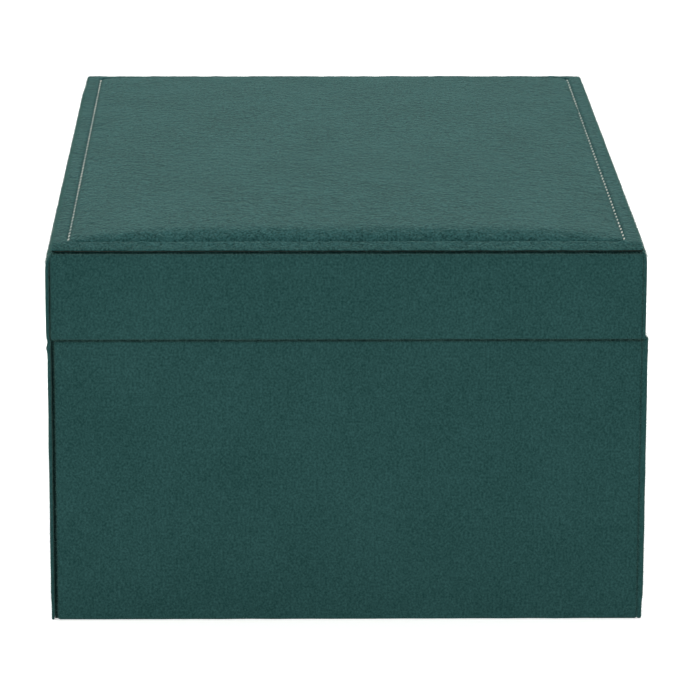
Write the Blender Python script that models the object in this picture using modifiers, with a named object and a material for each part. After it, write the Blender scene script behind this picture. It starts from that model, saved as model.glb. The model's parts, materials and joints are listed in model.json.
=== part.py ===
"""Travel jewelry case: a cloth-wrapped box with a hinged lid, a lift-out tray and a mirror.

Units are metres, +Z is up and the front faces -Y. The origin is the middle of the underside.
"""

import math

import bmesh
import bpy
from mathutils import Vector

# Driving dimensions of the closed case
CASE_LENGTH = 0.1905
CASE_DEPTH = 0.1270
PARTING_HEIGHT = 0.0618
LID_RIM_TOP = 0.0809

# Sheet stock
BOARD = 0.0020
COVER = 0.0012
LINING = 0.0010
PAD = 0.0015
DIVIDER = 0.0016
GAP = 0.0003

# Corner groove between a long cover and an end cover
GROOVE = 0.0006
LID_FRONT_SETBACK = 0.0004

# Padded top panel
PANEL_INSET = 0.00125
PANEL_EDGE = 0.00155
PANEL_CROWN = 0.0009
PANEL_CORNER = 0.0012
# Width of each ring of the top from the edge inwards, and its share of the crown's rise
PANEL_STEPS = ((0.0035, 0), (0.004, 0.45), (0.008, 0.4), (0.014, 0.15))
HEM_WIDTH = 0.0080
HEM_POCKET = 0.0011

# Hinge cloth and lid stays
HINGE_HALF_HEIGHT = 0.0060
LID_OPEN_ANGLE = math.radians(100)
STAY_WIDTH = 0.0100
STAY_THICKNESS = 0.0005
STAY_INSET = 0.0057
STAY_ANCHOR_REACH = 0.0280
STAY_ANCHOR_HEIGHT = 0.0060
STAY_TAIL = 0.0060

# Tray and the ledges that carry it
LEDGE = 0.0024
LEDGE_TOP = 0.0320
TRAY_TOP = 0.0570
TRAY_END_CLEARANCE = 0.00185
TRAY_SIDE_CLEARANCE = 0.0011
TRAY_DIVIDER_Y = 0.0110
TRAY_CROSS_X = 0.0290
RING_ROLL_COUNT = 5
RING_ROLL_LENGTH = 0.1000
RING_ROLL_HEIGHT = 0.0150
PULL_SIZE = Vector((0.0006, 0.0140, 0.0130))
PULL_TOP = 0.0600

# Storage under the tray
BASE_DIVIDER_Y = 0.0068
BASE_DIVIDER_TOP = 0.0280

# Closing magnets
MAGNET_LENGTH = 0.0200
MAGNET_HEIGHT = 0.0060

# Mirror in the lid
MIRROR_LENGTH = 0.1500
MIRROR_DEPTH = 0.0880
MIRROR_GLASS = 0.0020
MIRROR_FRAME_WIDTH = 0.0080
MIRROR_FRAME_DROP = 0.0026

EDGE_ROUNDING = 0.0003

# Nested half sizes and heights, worked out from the outside in
OUTER = Vector((CASE_LENGTH / 2, CASE_DEPTH / 2))
BOARD_OUTER = OUTER - Vector((1, 1)) * (COVER + GAP)
LINING_OUTER = BOARD_OUTER - Vector((1, 1)) * (BOARD + GAP)
INNER = LINING_OUTER - Vector((1, 1)) * LINING
LEDGE_INNER_Y = INNER.y - GAP - LEDGE
TRAY_OUTER = INNER - Vector((TRAY_END_CLEARANCE, TRAY_SIDE_CLEARANCE))
TRAY_INNER = TRAY_OUTER - Vector((1, 1)) * BOARD

BOTTOM_COVER_TOP = 0.0008
FLOOR_BOARD_LOW = BOTTOM_COVER_TOP + GAP
LINING_LOW = FLOOR_BOARD_LOW + BOARD + GAP
BASE_TOP = PARTING_HEIGHT - GAP
LID_LOW = PARTING_HEIGHT + GAP
LID_BOARD_LOW = LID_RIM_TOP - BOARD
CEILING_TOP = LID_BOARD_LOW - GAP
CEILING_LOW = CEILING_TOP - LINING
TRAY_LOW = LEDGE_TOP + GAP
TRAY_FLOOR_TOP = TRAY_LOW + DIVIDER

VELVET = ("velvet", (0.021, 0.067, 0.063), 0.95, 0.0)
PANEL_VELVET = ("panel_velvet", (0.024, 0.074, 0.070), 0.95, 0.0)
LINING_SUEDE = ("lining_suede", (0.034, 0.095, 0.088), 0.95, 0.0)
GREYBOARD = ("greyboard", (0.235, 0.205, 0.165), 0.9, 0.0)
FOAM = ("foam", (0.78, 0.76, 0.70), 0.9, 0.0)
RIBBON = ("satin_ribbon", (0.020, 0.085, 0.078), 0.45, 0.0)
NICKEL = ("nickel", (0.62, 0.60, 0.56), 0.3, 1.0)
MIRROR = ("mirror", (0.90, 0.92, 0.92), 0.03, 1.0)

for leftover in list(bpy.data.objects):
    bpy.data.objects.remove(leftover)

case_parts = bpy.data.collections.new("travel_jewelry_case")
cutters = bpy.data.collections.new("cutters")
bpy.context.scene.collection.children.link(case_parts)
bpy.context.scene.collection.children.link(cutters)


def add_axis(name, location):
    """An empty that carries one moving group, on that group's joint."""
    empty = bpy.data.objects.new(name, None)
    empty.location = location
    empty.empty_display_size = 0.02
    case_parts.objects.link(empty)
    return empty


base_axis = add_axis("base", (0, 0, 0))
lid_axis = add_axis("lid_hinge", (0, OUTER.y, PARTING_HEIGHT))
tray_axis = add_axis("tray_lift", (0, 0, TRAY_LOW))


def finish_material(name, finish):
    """A Principled material of the piece's own, from a finish's colour, roughness and metallic value."""
    kind, colour, roughness, metallic = finish
    material = bpy.data.materials.new(f"{name}_{kind}")
    material.use_nodes = True
    shader = material.node_tree.nodes["Principled BSDF"]
    shader.inputs["Base Color"].default_value = (*colour, 1)
    shader.inputs["Roughness"].default_value = roughness
    shader.inputs["Metallic"].default_value = metallic
    return material


def add_mesh(name, bm, location, carrier, finish):
    """Links a bmesh as a piece at a place in the case, carried by one of the axes."""
    mesh = bpy.data.meshes.new(name)
    bm.to_mesh(mesh)
    bm.free()
    mesh.materials.append(finish_material(name, finish))
    piece = bpy.data.objects.new(name, mesh)
    piece.parent = carrier
    piece.location = Vector(location) - carrier.location
    case_parts.objects.link(piece)
    return piece


def box_bmesh(size):
    bm = bmesh.new()
    bmesh.ops.create_cube(bm, size=1)
    bmesh.ops.scale(bm, vec=size, verts=bm.verts)
    return bm


def add_box(name, low, high, carrier, finish, rounding=0.0):
    """A rectangular piece between two corners, with its edges rounded if asked."""
    low, high = Vector(low), Vector(high)
    piece = add_mesh(name, box_bmesh(high - low), (low + high) / 2, carrier, finish)
    if rounding:
        bevel = piece.modifiers.new("rounding", "BEVEL")
        bevel.width = rounding
        bevel.segments = 2
        piece.data.shade_smooth()
    return piece


def add_four_walls(prefix, suffix, outer, thickness, low, high, carrier, finish, corner_gap=GAP):
    """Front and back pieces that run the full length, with end pieces between them."""
    inner_y = outer.y - thickness
    end_y = inner_y - corner_gap
    for side, sign in (("front", -1), ("back", 1)):
        near, far = sorted((sign * outer.y, sign * inner_y))
        add_box(f"{prefix}_{side}_{suffix}", (-outer.x, near, low), (outer.x, far, high), carrier, finish)
    for side, sign in (("left", -1), ("right", 1)):
        near, far = sorted((sign * outer.x, sign * (outer.x - thickness)))
        add_box(f"{prefix}_{side}_{suffix}", (near, -end_y, low), (far, end_y, high), carrier, finish)


def cut(piece, name, low, high):
    """Cuts a rectangular pocket out of a piece with a hidden cutter."""
    low, high = Vector(low), Vector(high)
    mesh = bpy.data.meshes.new(name)
    bm = box_bmesh(high - low)
    bm.to_mesh(mesh)
    bm.free()
    cutter = bpy.data.objects.new(name, mesh)
    cutter.location = (low + high) / 2
    cutter.hide_render = True
    cutter.display_type = "WIRE"
    cutters.objects.link(cutter)
    boolean = piece.modifiers.new(name, "BOOLEAN")
    boolean.operation = "DIFFERENCE"
    boolean.object = cutter


# Base: bottom, floor and four walls of board
bottom = BOARD_OUTER
add_box("base_bottom_cover", (-bottom.x, -bottom.y, 0), (bottom.x, bottom.y, BOTTOM_COVER_TOP), base_axis, VELVET)
add_box(
    "base_floor_board",
    (-LINING_OUTER.x, -LINING_OUTER.y, FLOOR_BOARD_LOW),
    (LINING_OUTER.x, LINING_OUTER.y, FLOOR_BOARD_LOW + BOARD),
    base_axis,
    GREYBOARD,
)
add_four_walls("base", "wall", BOARD_OUTER, BOARD, FLOOR_BOARD_LOW, BASE_TOP, base_axis, GREYBOARD)

# Base: outer covers. The back cover stops where the hinge cloth starts.
hinge_low = PARTING_HEIGHT - HINGE_HALF_HEIGHT
hinge_high = PARTING_HEIGHT + HINGE_HALF_HEIGHT
cover_inner_y = OUTER.y - COVER
end_cover_y = cover_inner_y - GROOVE


def add_end_covers(prefix, low, high, carrier):
    for side, sign in (("left", -1), ("right", 1)):
        near, far = sorted((sign * OUTER.x, sign * (OUTER.x - COVER)))
        low_corner = (near, -end_cover_y, low)
        high_corner = (far, end_cover_y, high)
        add_box(f"{prefix}_{side}_cover", low_corner, high_corner, carrier, VELVET, EDGE_ROUNDING)


def add_long_cover(name, outer_y, inner_y, low, high, carrier):
    near, far = sorted((outer_y, inner_y))
    low_corner = (-OUTER.x, near, low)
    high_corner = (OUTER.x, far, high)
    return add_box(name, low_corner, high_corner, carrier, VELVET, EDGE_ROUNDING)


add_long_cover("base_front_cover", -OUTER.y, -cover_inner_y, 0, BASE_TOP, base_axis)
add_long_cover("base_back_cover", OUTER.y, cover_inner_y, 0, hinge_low - GAP, base_axis)
add_end_covers("base", 0, BASE_TOP, base_axis)
add_long_cover("hinge_cloth", OUTER.y, cover_inner_y, hinge_low, hinge_high, base_axis)

# Base: lining, floor pad, and the two long ledges that the tray rests on
add_four_walls("base", "lining", LINING_OUTER, LINING, LINING_LOW, BASE_TOP, base_axis, LINING_SUEDE)
well = Vector((INNER.x - GAP, LEDGE_INNER_Y - GAP))
for side, sign in (("front", -1), ("back", 1)):
    near, far = sorted((sign * LEDGE_INNER_Y, sign * (LEDGE_INNER_Y + LEDGE)))
    low_corner = (-well.x, near, LINING_LOW)
    high_corner = (well.x, far, LEDGE_TOP)
    add_box(f"base_ledge_{side}", low_corner, high_corner, base_axis, LINING_SUEDE)
add_box(
    "base_floor_pad",
    (-well.x, -well.y, LINING_LOW),
    (well.x, well.y, LINING_LOW + PAD),
    base_axis,
    LINING_SUEDE,
)

# Base: dividers standing on the floor pad
divider_low = LINING_LOW + PAD + GAP
add_box(
    "base_divider_long",
    (-well.x, BASE_DIVIDER_Y - DIVIDER / 2, divider_low),
    (well.x, BASE_DIVIDER_Y + DIVIDER / 2, BASE_DIVIDER_TOP),
    base_axis,
    LINING_SUEDE,
)
for side, sign in (("left", -1), ("right", 1)):
    middle = sign * TRAY_CROSS_X
    add_box(
        f"base_divider_{side}",
        (middle - DIVIDER / 2, -well.y, divider_low),
        (middle + DIVIDER / 2, BASE_DIVIDER_Y - DIVIDER / 2 - GAP, BASE_DIVIDER_TOP),
        base_axis,
        LINING_SUEDE,
    )

# Tray: floor, four walls and dividers
add_box(
    "tray_floor",
    (GAP - TRAY_INNER.x, GAP - TRAY_INNER.y, TRAY_LOW),
    (TRAY_INNER.x - GAP, TRAY_INNER.y - GAP, TRAY_FLOOR_TOP),
    tray_axis,
    LINING_SUEDE,
)
add_four_walls("tray", "wall", TRAY_OUTER, BOARD, TRAY_LOW, TRAY_TOP, tray_axis, LINING_SUEDE)
tray_floor_clear = TRAY_FLOOR_TOP + GAP
tray_reach = TRAY_INNER - Vector((1, 1)) * GAP
tray_divider_top = TRAY_TOP - 0.003
tray_divider_back = TRAY_DIVIDER_Y + DIVIDER / 2
tray_divider_front = TRAY_DIVIDER_Y - DIVIDER / 2
add_box(
    "tray_divider_long",
    (-tray_reach.x, tray_divider_front, tray_floor_clear),
    (tray_reach.x, tray_divider_back, tray_divider_top),
    tray_axis,
    LINING_SUEDE,
)
for side, sign in (("left", -1), ("right", 1)):
    middle = sign * TRAY_CROSS_X
    add_box(
        f"tray_divider_{side}",
        (middle - DIVIDER / 2, -tray_reach.y, tray_floor_clear),
        (middle + DIVIDER / 2, tray_divider_front - GAP, tray_divider_top),
        tray_axis,
        LINING_SUEDE,
    )

# Tray: ring rolls side by side at the back left, and the divider at their end
roll_left = -tray_reach.x
roll_right = roll_left + RING_ROLL_LENGTH
roll_space_front = tray_divider_back + GAP
roll_pitch = (tray_reach.y - roll_space_front + GAP) / RING_ROLL_COUNT
for number in range(RING_ROLL_COUNT):
    front = roll_space_front + number * roll_pitch
    size = Vector((RING_ROLL_LENGTH, roll_pitch - GAP, RING_ROLL_HEIGHT))
    roll = box_bmesh(size)
    top_edges = [e for e in roll.edges if all(v.co.z > 0 for v in e.verts)]
    long_top_edges = [e for e in top_edges if abs(e.verts[0].co.x - e.verts[1].co.x) > size.x / 2]
    bmesh.ops.bevel(
        roll,
        geom=long_top_edges,
        offset=size.y * 0.48,
        offset_type="OFFSET",
        segments=5,
        profile=0.5,
        affect="EDGES",
        material=-1,
    )
    middle = Vector((roll_left, front, tray_floor_clear)) + size / 2
    add_mesh(f"ring_roll_{number + 1}", roll, middle, tray_axis, LINING_SUEDE)
add_box(
    "tray_divider_rings",
    (roll_right + GAP, roll_space_front, tray_floor_clear),
    (roll_right + GAP + DIVIDER, tray_reach.y, tray_divider_top),
    tray_axis,
    LINING_SUEDE,
)

# Tray: a ribbon pull inside each end wall
for side, sign in (("left", -1), ("right", 1)):
    near, far = sorted((sign * tray_reach.x, sign * (tray_reach.x - PULL_SIZE.x)))
    add_box(
        f"tray_pull_{side}",
        (near, -PULL_SIZE.y / 2, PULL_TOP - PULL_SIZE.z),
        (far, PULL_SIZE.y / 2, PULL_TOP),
        tray_axis,
        RIBBON,
    )

# Lid: rim boards under a top board, outer covers and lining
add_four_walls("lid", "rim", BOARD_OUTER, BOARD, LID_LOW, CEILING_TOP, lid_axis, GREYBOARD)
add_box(
    "lid_top_board",
    (-BOARD_OUTER.x, -BOARD_OUTER.y, LID_BOARD_LOW),
    (BOARD_OUTER.x, BOARD_OUTER.y, LID_RIM_TOP),
    lid_axis,
    GREYBOARD,
)
lid_front_y = -OUTER.y + LID_FRONT_SETBACK
add_long_cover("lid_front_cover", lid_front_y, -cover_inner_y, LID_LOW, LID_RIM_TOP, lid_axis)
add_long_cover("lid_back_cover", OUTER.y, cover_inner_y, hinge_high + GAP, LID_RIM_TOP, lid_axis)
add_end_covers("lid", LID_LOW, LID_RIM_TOP, lid_axis)
add_four_walls("lid", "lining", LINING_OUTER, LINING, LID_LOW, CEILING_TOP, lid_axis, LINING_SUEDE)
ceiling = INNER - Vector((1, 1)) * GAP
add_box(
    "lid_ceiling",
    (-ceiling.x, -ceiling.y, CEILING_LOW),
    (ceiling.x, ceiling.y, CEILING_TOP),
    lid_axis,
    LINING_SUEDE,
)

# Lid: mirror glass in a wrapped frame under the ceiling
glass_top = CEILING_LOW - GAP
mirror_half = Vector((MIRROR_LENGTH / 2, MIRROR_DEPTH / 2))
add_box(
    "mirror_glass",
    (-mirror_half.x, -mirror_half.y, glass_top - MIRROR_GLASS),
    (mirror_half.x, mirror_half.y, glass_top),
    lid_axis,
    MIRROR,
)
frame_half = mirror_half + Vector((1, 1)) * (MIRROR_FRAME_WIDTH + GAP)
mirror_frame = add_box(
    "mirror_frame",
    (-frame_half.x, -frame_half.y, glass_top - MIRROR_FRAME_DROP),
    (frame_half.x, frame_half.y, glass_top),
    lid_axis,
    LINING_SUEDE,
)
opening_half = mirror_half + Vector((1, 1)) * GAP
cut(
    mirror_frame,
    "mirror_opening",
    (-opening_half.x, -opening_half.y, glass_top - 2 * MIRROR_FRAME_DROP),
    (opening_half.x, opening_half.y, glass_top + MIRROR_FRAME_DROP),
)

# Magnets: one in a pocket at the top of the base's front wall, and one facing it in the lid's rim
magnet_back_y = -BOARD_OUTER.y + BOARD
for body, carrier, wall, low, below, above in (
    ("base", base_axis, "base_front_wall", BASE_TOP - MAGNET_HEIGHT, GAP, BOARD),
    ("lid", lid_axis, "lid_front_rim", LID_LOW, BOARD, GAP),
):
    low_corner = Vector((-MAGNET_LENGTH / 2, -BOARD_OUTER.y, low))
    high_corner = Vector((MAGNET_LENGTH / 2, magnet_back_y, low + MAGNET_HEIGHT))
    add_box(f"{body}_magnet", low_corner, high_corner, carrier, NICKEL)
    cut(
        bpy.data.objects[wall],
        f"{body}_magnet_pocket",
        low_corner - Vector((GAP, BOARD, below)),
        high_corner + Vector((GAP, BOARD, above)),
    )

# Padded top panel: velvet with its edges folded under and stitched, over a thin foam
panel_half = OUTER - Vector((1, 1)) * PANEL_INSET
panel_low = LID_RIM_TOP + GAP
panel = box_bmesh((2 * panel_half.x, 2 * panel_half.y, PANEL_EDGE))
panel_uprights = [e for e in panel.edges if abs(e.verts[0].co.z - e.verts[1].co.z) > PANEL_EDGE / 2]
top_face = max(panel.faces, key=lambda face: face.calc_center_median().z)
for width, share in PANEL_STEPS:
    bmesh.ops.inset_region(panel, faces=[top_face], thickness=width, use_even_offset=True)
    bmesh.ops.translate(panel, vec=(0, 0, share * PANEL_CROWN), verts=top_face.verts)
bottom_face = min(panel.faces, key=lambda face: face.calc_center_median().z)
bmesh.ops.inset_region(panel, faces=[bottom_face], thickness=HEM_WIDTH, use_even_offset=True)
pocket = bmesh.ops.extrude_discrete_faces(panel, faces=[bottom_face])
bmesh.ops.translate(panel, vec=(0, 0, HEM_POCKET), verts=pocket["faces"][0].verts)
bmesh.ops.bevel(
    panel,
    geom=panel_uprights,
    offset=PANEL_CORNER,
    offset_type="OFFSET",
    segments=3,
    profile=0.5,
    affect="EDGES",
    material=-1,
)
add_mesh("lid_top_cover", panel, (0, 0, panel_low + PANEL_EDGE / 2), lid_axis, PANEL_VELVET)
foam_half = panel_half - Vector((1, 1)) * (HEM_WIDTH + GAP)
add_box(
    "lid_top_foam",
    (-foam_half.x, -foam_half.y, panel_low),
    (foam_half.x, foam_half.y, panel_low + HEM_POCKET - GAP),
    lid_axis,
    FOAM,
)

# Lid stays: a ribbon at each end that is straight when the lid is open, and folds back on itself
# inside the closed case. Points are (y, z) from the hinge axis.


def turned(point, angle):
    """A point after the lid has turned by an angle towards open."""
    cosine, sine = math.cos(angle), math.sin(angle)
    return Vector((point.x * cosine + point.y * sine, point.y * cosine - point.x * sine))


base_anchor = Vector((-STAY_ANCHOR_REACH, -STAY_ANCHOR_HEIGHT))
lid_anchor = Vector((-STAY_ANCHOR_REACH, STAY_ANCHOR_HEIGHT))
lid_anchor_open = turned(lid_anchor, LID_OPEN_ANGLE)
stay_direction = (lid_anchor_open - base_anchor).normalized()
stay_fold = (base_anchor + lid_anchor_open) / 2
base_tail = base_anchor - stay_direction * STAY_TAIL
lid_tail = lid_anchor + turned(stay_direction, -LID_OPEN_ANGLE) * STAY_TAIL


def add_strip(name, start, end, x, collection):
    """One straight length of ribbon standing in a lengthwise plane of the case."""
    span = end - start
    bm = box_bmesh((STAY_THICKNESS, span.length, STAY_WIDTH))
    mesh = bpy.data.meshes.new(name)
    bm.to_mesh(mesh)
    bm.free()
    strip = bpy.data.objects.new(name, mesh)
    middle = (start + end) / 2
    strip.location = (x, OUTER.y + middle.x, PARTING_HEIGHT + middle.y)
    strip.rotation_euler.x = math.atan2(span.y, span.x)
    collection.objects.link(strip)
    return strip


for side, sign in (("left", -1), ("right", 1)):
    name = f"stay_ribbon_{side}"
    x = sign * (OUTER.x - STAY_INSET)
    ribbon = add_strip(name, base_tail, stay_fold, x, case_parts)
    ribbon.data.materials.append(finish_material(name, RIBBON))
    for part, start, end in (("return", stay_fold, lid_anchor), ("lid_tail", lid_anchor, lid_tail)):
        piece = add_strip(f"{name}_{part}", start, end, x, cutters)
        piece.hide_render = True
        piece.display_type = "WIRE"
        union = ribbon.modifiers.new(part, "BOOLEAN")
        union.operation = "UNION"
        union.object = piece
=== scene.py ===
import json
import math
import random

import bmesh
import bpy
from mathutils import Matrix, Vector, noise

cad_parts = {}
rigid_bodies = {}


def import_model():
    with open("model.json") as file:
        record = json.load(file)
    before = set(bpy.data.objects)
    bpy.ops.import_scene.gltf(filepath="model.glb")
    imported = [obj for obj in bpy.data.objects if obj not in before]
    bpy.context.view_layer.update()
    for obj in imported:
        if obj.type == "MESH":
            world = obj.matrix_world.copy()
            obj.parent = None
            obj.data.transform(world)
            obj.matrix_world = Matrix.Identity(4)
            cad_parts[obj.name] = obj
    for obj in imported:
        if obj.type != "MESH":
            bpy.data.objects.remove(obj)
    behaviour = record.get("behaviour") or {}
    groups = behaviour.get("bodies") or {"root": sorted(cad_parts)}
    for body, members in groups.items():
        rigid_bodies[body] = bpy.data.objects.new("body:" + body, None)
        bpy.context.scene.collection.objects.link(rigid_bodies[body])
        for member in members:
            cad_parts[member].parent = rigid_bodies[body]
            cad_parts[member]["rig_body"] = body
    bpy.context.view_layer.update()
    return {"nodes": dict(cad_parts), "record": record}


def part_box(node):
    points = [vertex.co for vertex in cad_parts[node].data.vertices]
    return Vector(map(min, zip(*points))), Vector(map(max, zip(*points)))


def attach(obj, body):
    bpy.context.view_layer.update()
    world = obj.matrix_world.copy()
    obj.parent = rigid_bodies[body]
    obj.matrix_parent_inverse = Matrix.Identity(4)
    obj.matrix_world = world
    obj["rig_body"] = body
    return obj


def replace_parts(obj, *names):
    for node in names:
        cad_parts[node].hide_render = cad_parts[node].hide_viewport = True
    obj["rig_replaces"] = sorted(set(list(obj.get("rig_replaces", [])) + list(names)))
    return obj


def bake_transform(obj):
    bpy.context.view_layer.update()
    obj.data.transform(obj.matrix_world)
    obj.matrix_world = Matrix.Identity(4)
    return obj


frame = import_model()

# ---------------------------------------------------------------------------------------------
# Studio: a white sweep under a white sky with one large overhead softbox, and a long lens that
# looks at the left end of the case from a little above its lid.
# ---------------------------------------------------------------------------------------------
SWEEP_HALF = 8.0
LENS_MM = 223.81
SENSOR_MM = 36.0
CAMERA_PLACE = Vector((-0.96119, 0.01611, 0.28183))
CAMERA_PITCH = math.radians(14.244)
CAMERA_YAW = math.radians(0.958)
CAMERA_ROLL = math.radians(0.157)
SOFTBOX_PLACE = Vector((0.7, 0.0, 1.3))
SOFTBOX_SIZE = 1.4
SOFTBOX_WATTS = 9.0


def linear(hex_colour):
    """An sRGB hex colour as the linear RGBA that a shader socket takes."""
    channels = [int(hex_colour[i : i + 2], 16) / 255 for i in (1, 3, 5)]
    return [c / 12.92 if c <= 0.04045 else ((c + 0.055) / 1.055) ** 2.4 for c in channels] + [1.0]


def add_node(tree, kind, sockets, **settings):
    """Adds a node with its settings. A socket given another node's output is linked, others are set."""
    node = tree.nodes.new(kind)
    for name, value in settings.items():
        setattr(node, name, value)
    for name, value in sockets.items():
        if isinstance(value, bpy.types.NodeSocket):
            tree.links.new(value, node.inputs[name])
        else:
            node.inputs[name].default_value = value
    return node


def new_material(name):
    """An empty material with its output node; gives the material, its tree and the Surface socket."""
    material = bpy.data.materials.new(name)
    material.use_nodes = True
    material.node_tree.nodes.clear()
    output = material.node_tree.nodes.new("ShaderNodeOutputMaterial")
    return material, material.node_tree, output.inputs["Surface"]


# Matt white paper sweep with 1 mm tooth. Its glow is the backlight that keeps it white round the case.
paper, tree, surface = new_material("paper_sweep_matt")
paper_coords = add_node(tree, "ShaderNodeTexCoord", {}).outputs["Object"]
paper_grain = add_node(tree, "ShaderNodeTexNoise", {"Vector": paper_coords, "Scale": 900.0})
paper_bump = add_node(
    tree, "ShaderNodeBump", {"Height": paper_grain.outputs["Fac"], "Distance": 0.00002, "Strength": 0.3}
)
paper_shader = add_node(
    tree,
    "ShaderNodeBsdfPrincipled",
    {
        "Base Color": linear("#F4F4F2"),
        "Roughness": 0.9,
        "Normal": paper_bump.outputs["Normal"],
        "Emission Color": linear("#FFFFFF"),
        "Emission Strength": 0.5,
    },
)
tree.links.new(paper_shader.outputs["BSDF"], surface)

bm = bmesh.new()
bmesh.ops.create_grid(bm, x_segments=4, y_segments=4, size=SWEEP_HALF)
sweep_mesh = bpy.data.meshes.new("sweep")
bm.to_mesh(sweep_mesh)
bm.free()
sweep_mesh.materials.append(paper)
sweep = bpy.data.objects.new("sweep", sweep_mesh)
bpy.context.scene.collection.objects.link(sweep)

world = bpy.data.worlds.new("studio")
world.use_nodes = True
world.node_tree.nodes["Background"].inputs["Color"].default_value = linear("#FFFFFF")
world.node_tree.nodes["Background"].inputs["Strength"].default_value = 1.0
bpy.context.scene.world = world

softbox_data = bpy.data.lights.new("softbox", "AREA")
softbox_data.size = SOFTBOX_SIZE
softbox_data.energy = SOFTBOX_WATTS
softbox = bpy.data.objects.new("softbox", softbox_data)
softbox.location = SOFTBOX_PLACE
softbox.rotation_euler = SOFTBOX_PLACE.to_track_quat("Z", "Y").to_euler()
bpy.context.scene.collection.objects.link(softbox)

forward = Vector(
    (
        math.cos(CAMERA_PITCH) * math.cos(CAMERA_YAW),
        -math.cos(CAMERA_PITCH) * math.sin(CAMERA_YAW),
        -math.sin(CAMERA_PITCH),
    )
)
level_right = forward.cross(Vector((0, 0, 1))).normalized()
level_up = level_right.cross(forward)
right = level_right * math.cos(CAMERA_ROLL) + level_up * math.sin(CAMERA_ROLL)
up = level_up * math.cos(CAMERA_ROLL) - level_right * math.sin(CAMERA_ROLL)
camera_data = bpy.data.cameras.new("camera")
camera_data.lens = LENS_MM
camera_data.sensor_width = SENSOR_MM
camera_data.clip_start = 0.05
camera_data.clip_end = 50.0
camera = bpy.data.objects.new("camera", camera_data)
camera.matrix_world = Matrix.Translation(CAMERA_PLACE) @ Matrix((right, up, -forward)).transposed().to_4x4()
bpy.context.scene.collection.objects.link(camera)
bpy.context.scene.camera = camera
bpy.context.scene.view_settings.view_transform = "Standard"

# ---------------------------------------------------------------------------------------------
# Carcass: grey book board, die cut and glued, in the base and the lid, with a foam pad under the
# lid's top cover and a magnet let into each front edge. All of it is closed in by the covers.
# ---------------------------------------------------------------------------------------------


def make_board():
    """Grey chipboard: recycled pulp, pressed and rolled, so it is matt, with darker flecks about
    1.4 mm apart and a mottle about 6 mm across."""
    material, tree, surface = new_material("greyboard_chip")
    coords = add_node(tree, "ShaderNodeTexCoord", {}).outputs["Object"]
    mottle = add_node(tree, "ShaderNodeTexNoise", {"Vector": coords, "Scale": 180.0, "Detail": 4.0})
    flecks = add_node(tree, "ShaderNodeTexVoronoi", {"Vector": coords, "Scale": 700.0})
    tone = add_node(
        tree,
        "ShaderNodeMix",
        {0: mottle.outputs["Fac"], 6: linear("#7C7468"), 7: linear("#8E8577")},
        data_type="RGBA",
    )
    fleck = add_node(
        tree, "ShaderNodeMapRange", {0: flecks.outputs["Distance"], 1: 0.05, 2: 0.16, 3: 0.35, 4: 0.0}
    )
    colour = add_node(
        tree,
        "ShaderNodeMix",
        {0: fleck.outputs[0], 6: tone.outputs[2], 7: linear("#5A5248")},
        data_type="RGBA",
    )
    bump = add_node(
        tree, "ShaderNodeBump", {"Height": mottle.outputs["Fac"], "Distance": 0.00005, "Strength": 0.5}
    )
    shader = add_node(
        tree,
        "ShaderNodeBsdfPrincipled",
        {"Base Color": colour.outputs[2], "Roughness": 0.85, "Normal": bump.outputs["Normal"]},
    )
    tree.links.new(shader.outputs["BSDF"], surface)
    return material


def make_foam():
    """Polyether foam sheet: cream and open celled, so it is fully matt and pitted by cells about
    0.7 mm across."""
    material, tree, surface = new_material("polyether_foam")
    coords = add_node(tree, "ShaderNodeTexCoord", {}).outputs["Object"]
    cells = add_node(tree, "ShaderNodeTexVoronoi", {"Vector": coords, "Scale": 1400.0})
    colour = add_node(
        tree,
        "ShaderNodeMix",
        {0: cells.outputs["Distance"], 6: linear("#CFC9B4"), 7: linear("#EFEADB")},
        data_type="RGBA",
    )
    bump = add_node(
        tree, "ShaderNodeBump", {"Height": cells.outputs["Distance"], "Distance": 0.0002, "Strength": 0.7}
    )
    shader = add_node(
        tree,
        "ShaderNodeBsdfPrincipled",
        {"Base Color": colour.outputs[2], "Roughness": 0.95, "Normal": bump.outputs["Normal"]},
    )
    tree.links.new(shader.outputs["BSDF"], surface)
    return material


def make_nickel():
    """Nickel plate on a sintered magnet: bright metal with tumbling scuffs in its roughness, about
    0.8 mm apart."""
    material, tree, surface = new_material("nickel_plate")
    coords = add_node(tree, "ShaderNodeTexCoord", {}).outputs["Object"]
    scuffs = add_node(tree, "ShaderNodeTexNoise", {"Vector": coords, "Scale": 1200.0, "Detail": 6.0})
    rough = add_node(tree, "ShaderNodeMapRange", {0: scuffs.outputs["Fac"], 3: 0.2, 4: 0.45})
    shader = add_node(
        tree,
        "ShaderNodeBsdfPrincipled",
        {"Base Color": linear("#C9C6BE"), "Metallic": 1.0, "Roughness": rough.outputs[0]},
    )
    tree.links.new(shader.outputs["BSDF"], surface)
    return material


def finish_node(name, material):
    """Gives a CAD node its finished material."""
    mesh = frame["nodes"][name].data
    mesh.materials.clear()
    mesh.materials.append(material)


greyboard = make_board()
BOARD_NODES = ["base_floor_board", "lid_top_board"]
for side in ("front", "back", "left", "right"):
    BOARD_NODES += [f"base_{side}_wall", f"lid_{side}_rim"]
for name in BOARD_NODES:
    finish_node(name, greyboard)
finish_node("lid_top_foam", make_foam())
nickel = make_nickel()
for name in ("base_magnet", "lid_magnet"):
    finish_node(name, nickel)

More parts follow.
